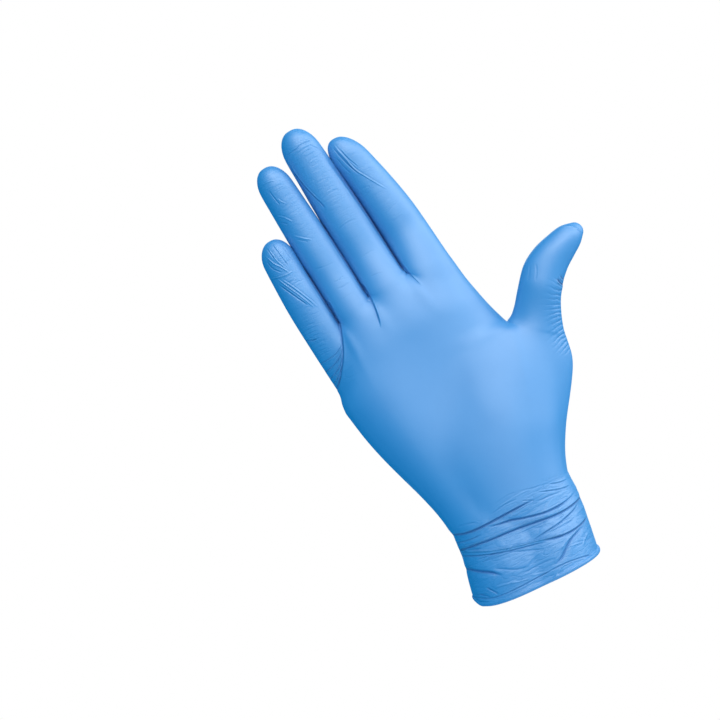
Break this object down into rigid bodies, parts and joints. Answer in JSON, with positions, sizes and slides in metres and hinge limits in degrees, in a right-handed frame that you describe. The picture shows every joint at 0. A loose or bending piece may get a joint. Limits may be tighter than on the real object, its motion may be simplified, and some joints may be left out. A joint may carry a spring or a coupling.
{
  "type": "nitrile exam glove",
  "caption": "Thin blue disposable glove in the form of a hand with fingers together and thumb out, with a gathered cuff and a rolled bead at its open mouth.",
  "frame": {"origin": "the middle of the wrist, where the wearer's wrist holds the glove", "axes": "+Z from the wrist to the fingertips, +X to the thumb, -Y out of the palm, for a right hand"},
  "size_m": [0.1405, 0.0512, 0.2447],
  "materials": {
    "nitrile": "satin blue nitrile film with fine creases"
  },
  "bodies": {
    "root": {"glove": "nitrile"}
  },
  "joints": []
}
